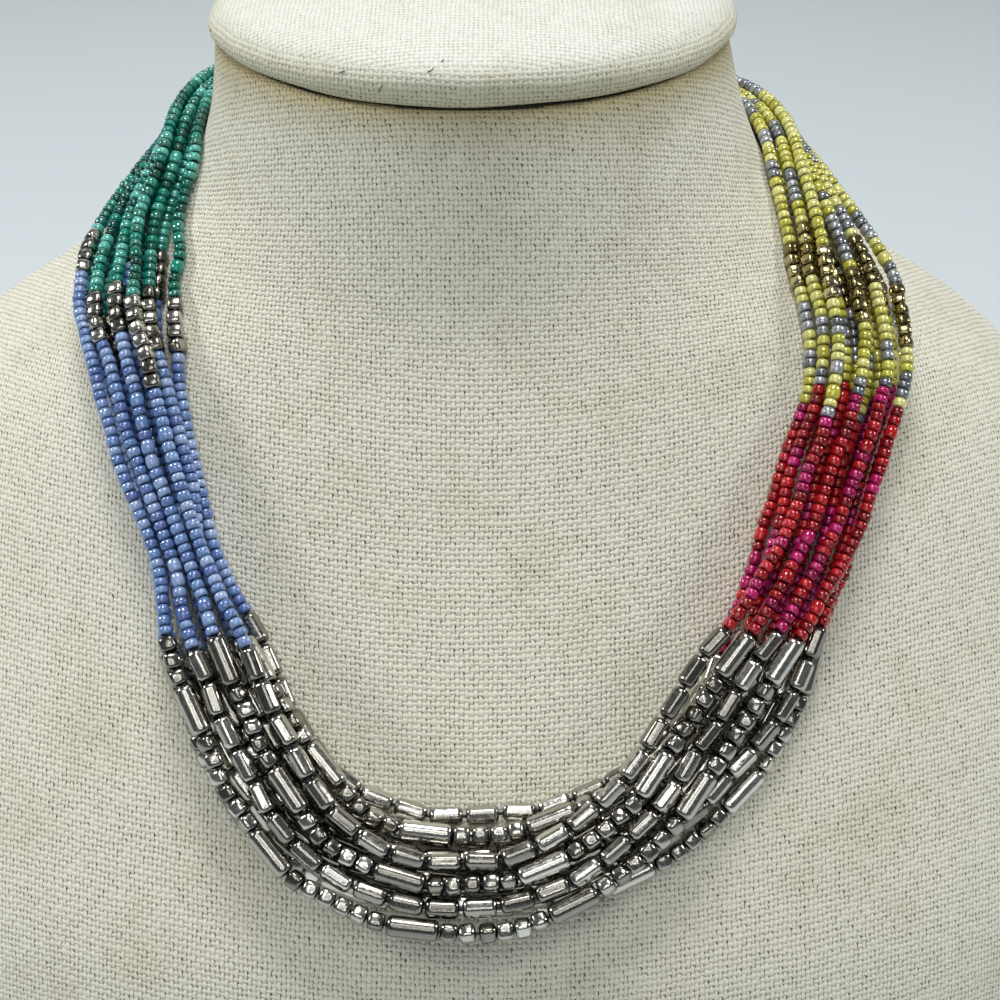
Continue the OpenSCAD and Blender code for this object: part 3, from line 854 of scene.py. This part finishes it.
# a seed bead is painted dark with shade within this radius, and has its full colour this much further out
DARK_WITHIN, DARK_FADES = 0.6, 0.36


def spun(outline, sides):
    """A ring spun about Z from a closed outline of (radius, height) points."""
    bm = bmesh.new()
    corners = [bm.verts.new((r, 0, z)) for r, z in outline]
    edges = [bm.edges.new((a, b)) for a, b in zip(corners, corners[1:] + corners[:1])]
    bmesh.ops.spin(bm, geom=corners + edges, cent=(0, 0, 0), axis=(0, 0, 1), angle=2 * math.pi,
                   steps=sides, use_merge=True, use_duplicate=False)
    bmesh.ops.remove_doubles(bm, verts=bm.verts, dist=1e-5)
    bmesh.ops.recalc_face_normals(bm, faces=bm.faces)
    return mark_shade_and_patina(bm, lambda co: (co.xy.length - DARK_WITHIN) / DARK_FADES)


def kept_shape(name, bm):
    """Keeps a shape as a mesh to be strung later. Its faces are smooth."""
    for face in bm.faces:
        face.smooth = True
    mesh = meshed(name, bm)
    print(name, len(mesh.polygons), "faces")
    return mesh


# the outline is for a bead 1 mm in radius and 1 mm long, and is scaled to each bead
seed_shape = kept_shape("seed", spun(
    [(SEED_HOLE, -0.38), (0.67, -0.5), (0.92, -0.33), (1, 0), (0.92, 0.33), (0.67, 0.5), (SEED_HOLE, 0.38)],
    SEED_SIDES))

# %% Six-sided, long and nugget beads from prisms and a cube
# how an end closes: share of the bead's width, and height above the straight part in mm
END_ROUND = 1.1
END_STEPS = [(0.975, 0.35), (0.9, 0.7), (0.76, 0.96), (0.45, END_ROUND), (0.28, 0.4)]
# how far the patina and painted shade reach from an end of a prism bead and of a nugget, in mm
DARK_END, NUGGET_DARK_END = 0.5, 0.4


def prism_bead(name, sides, radius, length, edge_round):
    """A prism whose ends round off to a hole. Its long edges may be rounded too."""
    bm = bmesh.new()
    straight = length - 2 * END_ROUND
    bmesh.ops.create_cone(bm, cap_ends=True, segments=sides, radius1=radius, radius2=radius, depth=straight)
    if edge_round:
        upright = [e for e in bm.edges if abs(e.verts[0].co.z - e.verts[1].co.z) > straight / 2]
        bmesh.ops.bevel(bm, geom=upright, offset=edge_round, affect="EDGES", segments=3, profile=0.5,
                        material=-1)
    for side in (1, -1):
        end_face = max(bm.faces, key=lambda f: side * f.calc_center_median().z)
        before = 1.0
        for width, rise in END_STEPS:
            bmesh.ops.inset_region(bm, faces=[end_face], thickness=0.001)
            for v in end_face.verts:
                v.co = (v.co.x * width / before, v.co.y * width / before, side * (straight / 2 + rise))
            before = width
    bmesh.ops.recalc_face_normals(bm, faces=bm.faces)
    return kept_shape(name, mark_shade_and_patina(bm, lambda co: (length / 2 - abs(co.z)) / DARK_END))


# widths in mm, 0.2 more than the frame's plain solids have, and how square a nugget is
HEX_FLATS, TUBE_D, SQUARENESS = 3.2, 3.8, 4.8
hex_shape = prism_bead("hex_bead", 6, HEX_FLATS / math.sqrt(3), HEX_LEN, edge_round=0.5)
tube_shape = prism_bead("long_bead", 14, TUBE_D / 2, TUBE_LEN, edge_round=0)

bm = bmesh.new()
bmesh.ops.create_cube(bm, size=NUGGET)
bmesh.ops.subdivide_edges(bm, edges=bm.edges[:], cuts=3, use_grid_fill=True)
for v in bm.verts:
    v.co *= NUGGET / 2 / sum(abs(x) ** SQUARENESS for x in v.co) ** (1 / SQUARENESS)
nugget_shape = kept_shape("nugget", mark_shade_and_patina(bm, lambda co: (NUGGET / 2 - abs(co.z)) / NUGGET_DARK_END))

# %% [markdown]
# ## Stringing
# A string's beads are joined in one mesh. Each shape is copied in, sized, rolled and tilted a
# little, and set on its string's route, and every copy gets one tint for its faces.

# %% Beads copied onto a route


def set_on(here, size=(1, 1, 1), roll=0.0, tilt=(0.0, 0.0)):
    """The matrix that sets a shape made along Z at a frame of place, direction and way out."""
    place, way, out = here
    turn = Matrix((out, way.cross(out), way)).transposed().to_4x4()
    turns = ((tilt[0], "X"), (tilt[1], "Y"), (roll, "Z"))
    lean_x, lean_y, spin = (Matrix.Rotation(by, 4, axis) for by, axis in turns)
    sized = Matrix.Diagonal((*(x * MM for x in size), 1))
    return Matrix.Translation(place * MM) @ turn @ (lean_x @ lean_y @ spin) @ sized


# just over a full turn, in radians
ANY_ROLL = 6.3


def random_lean(rng, most):
    return rng.gauss(0, most), rng.gauss(0, most)


def strung(name, beads, materials):
    """One mesh of beads, each (shape, matrix, material number, tint)."""
    bm = bmesh.new()
    tint_layer = bm.faces.layers.float.new("tint")
    bm.verts.layers.float.new("belt")
    for shape, matrix, number, tint in beads:
        bm.from_mesh(shape)
        bm.verts.ensure_lookup_table()
        bm.faces.ensure_lookup_table()
        bmesh.ops.transform(bm, matrix=matrix, verts=bm.verts[-len(shape.vertices):])
        for face in bm.faces[-len(shape.polygons):]:
            face.material_index = number
            face[tint_layer] = tint
    return piece(name, bm, *materials)


# %% [markdown]
# ## The glass ends of the strings
# On the left the beads go from opaque and clear teal at the back, through a few silver nuggets
# at staggered heights, to periwinkle. On the right they go from mixed clear red and magenta
# up to pearly yellow and grey, with a run of bronze nuggets in the middle of it.

# %% Where each string changes, in millimetres along it
# for each string: where its silver nuggets start and how many there are, and then, from the
# metal on, how long it is red and magenta, where its bronze nuggets start and how many there are
CHANGES = [
    ((103, 4), (49, 72, 4)),
    ((90, 4), (44, 70, 4)),
    ((100, 4), (50, 66, 5)),
    ((106, 3), (46, 68, 4)),
    ((104, 4), (51, 74, 5)),
    ((104, 5), (48, 70, 5)),
    ((84, 4), (51, 78, 4)),
    ((108, 4), (43, 66, 5)),
    ((101, 4), (49, 62, 6)),
    ((111, 7), (44, 68, 5)),
    ((107, 4), (50, 64, 5)),
    ((109, 4), (52, 74, 5)),
    ((91, 4), (48, 62, 6)),
]
SEED_LEN, SEED_GAP = (1.55, 2.05), 0.04
# a few seeds are longer, and opaque ones are wider
LONG_SEED, LONG_SHARE = 2.8, 0.05
SEED_D = {"teal": (2.2, 2.5), "magenta": (2.4, 2.65), "red": (2.4, 2.65)}
OTHER_SEED_D = (2.45, 2.75)
# the small nuggets' width as a share of a front nugget's, and their length
SMALL_NUGGETS = {"silver": (1.03, 2.85), "bronze": (0.86, 2.4)}
LEFT_KINDS = ["turquoise", "teal", "blue"]
RIGHT_KINDS = ["magenta", "red", "yellow", "grey"]
# room at the end of a run that is too short for one more bead
TOO_SHORT = 0.9
SEED_LEAN, SMALL_NUGGET_ROLL = 0.05, 0.35


def kinds_along(rng, choices, shares, run):
    """Endless kinds of bead, in short runs of one kind."""
    while True:
        kind = rng.choices(choices, shares)[0]
        for _ in range(rng.randint(*run)):
            yield kind


def fill(string, start, end, plan, rng):
    """Beads from a length to a length. The plan gives, for a length, a kind or a nugget."""
    slots, s = [], start
    while s < end - TOO_SHORT:
        kind = plan(s)
        if kind in SMALL_NUGGETS:
            length = SMALL_NUGGETS[kind][1] - SEED_GAP
        else:
            length = LONG_SEED if rng.random() < LONG_SHARE else rng.uniform(*SEED_LEN)
        slots.append((kind, s, length))
        s += length + SEED_GAP
    stretch = (end - start) / (s - start)
    return [(kind, start + (at + length / 2 - start) * stretch, length) for kind, at, length in slots]


def seed_beads(string, slots, kinds, rng):
    beads = []
    for kind, s, length in slots:
        here = string.bead(s, length)
        lean = random_lean(rng, SEED_LEAN)
        tint = rng.random()
        if kind in SMALL_NUGGETS:
            share, long = SMALL_NUGGETS[kind]
            wide = [share * rng.uniform(0.94, 1.05) for _ in range(2)]
            size = (*wide, long / NUGGET * rng.uniform(0.94, 1.0))
            shape, number, roll = nugget_shape, len(kinds), rng.gauss(0, SMALL_NUGGET_ROLL)
        else:
            r = rng.uniform(*SEED_D.get(kind, OTHER_SEED_D)) / 2
            size = (r, r, length)
            shape, number, roll = seed_shape, kinds.index(kind), rng.uniform(0, ANY_ROLL)
        beads.append((shape, set_on(here, size, roll, lean), number, tint))
    return beads


def glass_side(string, side, start, end, plan, kinds, nuggets, rng):
    """Strings the glass of one side. The nuggets are the finish of its small nuggets."""
    slots = fill(string, start, end, plan, rng)
    obj = strung("glass_beads_%s_%s" % (side, string.name), seed_beads(string, slots, kinds, rng),
                 [GLASS[k] for k in kinds] + [nuggets])
    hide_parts("seeds_%s_%s" % (side, string.name))
    return len(slots)


# %% Glass beads on the left and on the right
# shares of turquoise and teal, of magenta and red and of yellow and grey, in runs of 1 to 3
EVEN_SHARES, PALE_SHARES, RUN = [5, 5], [13, 7], (1, 3)
# what is left free at the nape and at the metal
NAPE_ROOM, METAL_END = 0.1, 0.05
count = 0
for string in strings:
    rng = random.Random(100 + string.k)
    (silver_from, silver_count), (red_len, bronze_from, bronze_count) = CHANGES[string.k]
    silver_to = silver_from + silver_count * SMALL_NUGGETS["silver"][1]
    teal_run = kinds_along(rng, ["turquoise", "teal"], EVEN_SHARES, RUN)
    count += glass_side(string, "left", NAPE_ROOM, string.metal_from - METAL_END, lambda s: (
        next(teal_run) if s < silver_from else "silver" if s < silver_to else "blue"),
        LEFT_KINDS, pewter, rng)
    start = string.metal_to
    yellow_from, bronze_at = start + red_len, start + bronze_from
    bronze_to = bronze_at + bronze_count * SMALL_NUGGETS["bronze"][1]
    red_run = kinds_along(rng, ["magenta", "red"], EVEN_SHARES, RUN)
    pale_run = kinds_along(rng, ["yellow", "grey"], PALE_SHARES, RUN)
    count += glass_side(string, "right", start + METAL_END, string.whole - NAPE_ROOM, lambda s: (
        next(red_run) if s < yellow_from else "bronze" if bronze_at <= s < bronze_to
        else next(pale_run)), RIGHT_KINDS, bronze, rng)
print("beads on the two sides:", count)

# %% [markdown]
# ## The metal front
# Seven strings have six-sided beads end to end. Six have long round beads with a few
# nuggets between them. They sit on the frame's own places, each rolled and sized a little
# differently, as cast beads are.

# %% Metal beads
# degrees that six-sided beads turn from bead to bead and from string to string
HEX_ROLL, HEX_ROLL_BY_STRING = 41, 17
# how unevenly beads lean and nuggets roll, in radians
HEX_LEAN, NUGGET_LEAN, NUGGET_ROLL = 0.04, 0.06, 0.45
for string in strings:
    rng = random.Random(200 + string.k)
    hexes, tubes, nuggets, lead = STRANDS[string.k][3:]
    beads = []
    nugget_beads = []
    if hexes:
        for i in range(hexes):
            here = string.bead(string.metal_from + (i + 0.5) * (HEX_LEN + BEAD_GAP), HEX_LEN)
            size = (rng.uniform(0.94, 1.03), rng.uniform(0.94, 1.03), rng.uniform(0.97, 1.01))
            roll = math.radians(HEX_ROLL * i + HEX_ROLL_BY_STRING * string.k)
            beads.append((hex_shape, set_on(here, size, roll, random_lean(rng, HEX_LEAN)), 0, rng.random()))
    else:
        tubes_from = [string.metal_from + string.lead + i * string.run for i in range(tubes)]
        for start in tubes_from:
            here = string.bead(start + (TUBE_LEN + BEAD_GAP) / 2, TUBE_LEN)
            size = (rng.uniform(0.95, 1.02), rng.uniform(0.95, 1.02), rng.uniform(0.98, 1.01))
            beads.append((tube_shape, set_on(here, size, rng.uniform(0, ANY_ROLL)), 0, rng.random()))
        runs = [(string.metal_from, lead)]
        runs += [(start + TUBE_LEN + BEAD_GAP, nuggets) for start in tubes_from[:-1]]
        for start, number in runs:
            for i in range(number):
                here = string.bead(start + (i + 0.5) * (NUGGET + NUGGET_GAP), NUGGET)
                size = [rng.uniform(0.96, 1.06) for _ in range(3)]
                lean = random_lean(rng, NUGGET_LEAN)
                set_here = set_on(here, size, rng.gauss(0, NUGGET_ROLL), lean)
                nugget_beads.append((nugget_shape, set_here, 0, rng.random()))
    obj = strung("cast_beads_" + string.name, beads, [pewter])
    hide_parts("metal_beads_" + string.name)
    obj.modifiers.new("Even faces", "WEIGHTED_NORMAL").keep_sharp = False
    if nugget_beads:
        obj = strung("nuggets_" + string.name, nugget_beads, [pewter])
print("cast beads strung")

# %% [markdown]
# ## The thread itself
# The thread is a thin tube along each whole route. A curve with a round bevel makes it, and
# it is turned into a mesh so that it can be measured like the rest.

# %% Thread through every string
THREAD_R, THREAD_STEP = 0.3, 3
for string in strings:
    stops = np.linspace(0, string.whole, int(string.whole / THREAD_STEP))
    line = round_line([string.frame(s)[0] for s in stops], THREAD_R)
    obj = piece("string_thread_" + string.name, line, waxed_thread)
    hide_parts("thread_" + string.name)
print("threads strung")

# %% [markdown]
# ## Bars and clasp at the nape
# All the strings of a side end in one bar, and a plain clasp joins the two bars. They are
# cast blocks with rounded edges and a groove that marks where the bar was closed.

# %% Bars and clasp
BAR_LEN, CLASP_H, CLASP_T = 6, 9, 4.5
# gap before and after a bar, its rim round the strings, room for its slant, a string's width
BAR_GAP, BAR_RIM, SLANT_ROOM, SEED_TUBE = 0.3, 0.2, 0.6, 2.3
# the groove's width and depth, how far it is inset, and the blocks' tone of metal
GROOVE_W, GROOVE_D, GROOVE_INSET, BLOCK_TINT = 0.5, 0.25, 0.1, 0.6


def end_frame(row):
    b, lay, turn = BAND[row], layout_at(row), -1 if row == 0 else 1
    mid = np.array([(b[0] + b[2]) / 2, (b[1] + b[3]) / 2, lay[FIRST_H] + lay[STEP_H]])
    out, here, ahead = cloth_normal(mid[0], mid[1]), above_cloth(mid), above_cloth(mid + [turn, 0, 0])
    way = Vector((ahead.x - here.x, ahead.y - here.y, 0)).normalized()
    return here, way, Vector((out.x, out.y, 0)).normalized()


def rounded_block(size, edge):
    """A block with rounded edges and a groove, and with the tint and belt of a metal bead."""
    bm = bmesh.new()
    bmesh.ops.create_cube(bm, size=1)
    bmesh.ops.scale(bm, vec=size, verts=bm.verts)
    around = [e for e in bm.edges if abs(e.verts[0].co.z - e.verts[1].co.z) > size[2] / 2]
    bmesh.ops.subdivide_edges(bm, edges=around, cuts=2, use_grid_fill=True)
    for v in bm.verts:
        if abs(v.co.z) < size[2] * 0.4:
            v.co.z = math.copysign(GROOVE_W / 2, v.co.z)
    groove = [f for f in bm.faces if all(abs(v.co.z) < GROOVE_W for v in f.verts)]
    bmesh.ops.inset_region(bm, faces=groove, thickness=GROOVE_INSET, depth=-GROOVE_D)
    sharp = [e for e in bm.edges if len(e.link_faces) == 2 and e.calc_face_angle() > 1.2
             and max(abs(v.co.z) for v in e.verts) > GROOVE_W]
    bmesh.ops.bevel(bm, geom=sharp, offset=edge, affect="EDGES", segments=3, profile=0.5, material=-1)
    bmesh.ops.recalc_face_normals(bm, faces=bm.faces)
    tint_layer = bm.faces.layers.float.new("tint")
    for face in bm.faces:
        face[tint_layer] = BLOCK_TINT
        face.smooth = True
    return mark_shade_and_patina(bm, lambda co: 1.0)


for name, row in (("left", 0), ("right", LAST_ROW)):
    lay = layout_at(row)
    # three layers of strings, and five strings in the first
    thick = 2 * lay[STEP_H] + SEED_TUBE + 2 * BAR_RIM
    tall = 4 * lay[SPACING] * abs(BAND[row][1] - BAND[row][3]) + SEED_TUBE + 2 * BAR_RIM
    place, way, out = end_frame(row)
    bm = rounded_block((thick, tall, BAR_LEN), 0.6)
    here = (place + (BAR_GAP + BAR_LEN / 2) * way, way, out)
    bmesh.ops.transform(bm, matrix=set_on(here), verts=bm.verts)
    obj = piece("closed_bar_" + name, bm, pewter)
    obj.modifiers.new("Even faces", "WEIGHTED_NORMAL")
    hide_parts("end_bar_" + name)

reach = BAR_LEN + 2 * BAR_GAP + SLANT_ROOM
ends = [end_frame(row) for row in (0, LAST_ROW)]
far = [place + reach * way for place, way, out in ends]
bm = rounded_block((CLASP_H, CLASP_T, far[1].x - far[0].x), 0.8)
along_x = ((far[0] + far[1]) / 2, Vector((1, 0, 0)), Vector((0, 0, 1)))
bmesh.ops.transform(bm, matrix=set_on(along_x), verts=bm.verts)
clasp_piece = piece("nape_clasp", bm, pewter)
clasp_piece.modifiers.new("Even faces", "WEIGHTED_NORMAL")
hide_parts("clasp")
print("clasp %.1f mm long" % (far[1].x - far[0].x))

# %% [markdown]
# ## Floor, light and camera
# The bust stands on a pale floor that runs on as the background. Soft boxes light it from
# above, from both sides and from the front, and one lights the floor behind it. A square of
# four thin strips hangs before it: polished metal needs bright shapes against dark to look
# like metal, and glass beads catch the square as a small ring.

# %% The floor
FLOOR_HALF = 4
bm = bmesh.new()
bmesh.ops.create_grid(bm, x_segments=1, y_segments=1, size=FLOOR_HALF)
floor = placed("floor", meshed("floor", bm))
paper, tree, shader = finish("pale_paper", Roughness=0.9)
shader.inputs["Base Color"].default_value = linear("#d6dfe2")
floor.data.materials.append(paper)

# %% Light and camera
bpy.context.scene.view_settings.view_transform = "Standard"
world = bpy.data.worlds.new("studio")
bpy.context.scene.world = world
world.use_nodes = True
sky = world.node_tree.nodes["Background"].inputs
sky["Color"].default_value = linear("#dfe6ec")
sky["Strength"].default_value = 0.14


def soft_box(name, place, aim, size, power):
    """An area light of a width and height in metres, and a power in watts."""
    light = bpy.data.lights.new(name, "AREA")
    light.shape = "RECTANGLE"
    light.size, light.size_y = size
    light.energy = power
    obj = placed(name, light)
    obj.location = place
    obj.rotation_euler = (Vector(aim) - Vector(place)).to_track_quat("-Z", "Y").to_euler()


AIM = (0, -0.02, 0.12)
soft_box("top_box", (0, 0, 1.1), AIM, (0.34, 0.28), 4.95)
soft_box("left_box", (-0.75, 0.08, 0.58), AIM, (0.14, 0.14), 3.3)
soft_box("right_box", (0.75, 0.08, 0.58), AIM, (0.14, 0.14), 2.5)
soft_box("front_box", (-0.1, -0.72, 0.88), AIM, (0.7, 0.4), 0.95)
soft_box("floor_box", (-0.07, 0.75, 0.6), (-0.07, 0.62, 0), (0.9, 0.3), 1.34)
# the square's middle, its way up, half its side, the strips' width and their power
RING_AT, RING_UP = Vector((0, -0.47, 0.5)), Vector((0, 0.645, 0.764))
RING_HALF, STRIP_W, STRIP_POWER = 0.16, 0.015, 0.145
lying, standing = (2 * RING_HALF + STRIP_W, STRIP_W), (STRIP_W, 2 * RING_HALF - STRIP_W)
for name, x, y, size in (("top", 0, 1, lying), ("bottom", 0, -1, lying),
                         ("left", -1, 0, standing), ("right", 1, 0, standing)):
    place = RING_AT + RING_HALF * (Vector((x, 0, 0)) + y * RING_UP)
    soft_box("ring_" + name, place, AIM, size, STRIP_POWER)

# the camera's focal length in the photograph's pixels and how many of them it is wide, its
# angle down, and its distance
CAM_F_PX, PHOTO_PX, CAM_PITCH, CAM_DIST = 2200, 1000, 28, 0.4
CAM_AIM = Vector((0.004, -0.062 + NECK_Y * MM, 0.112))
pitch = math.radians(CAM_PITCH)
camera = bpy.data.cameras.new("camera")
camera.sensor_width = 36
camera.lens = CAM_F_PX / PHOTO_PX * camera.sensor_width
camera.clip_start = 0.01
shot = placed("camera", camera)
shot.location = CAM_AIM - CAM_DIST * Vector((0, math.cos(pitch), -math.sin(pitch)))
shot.rotation_euler = (math.pi / 2 - pitch, 0, 0)
bpy.context.scene.camera = shot
print("lights:", len(bpy.data.lights), "lens: %.0f mm" % camera.lens)
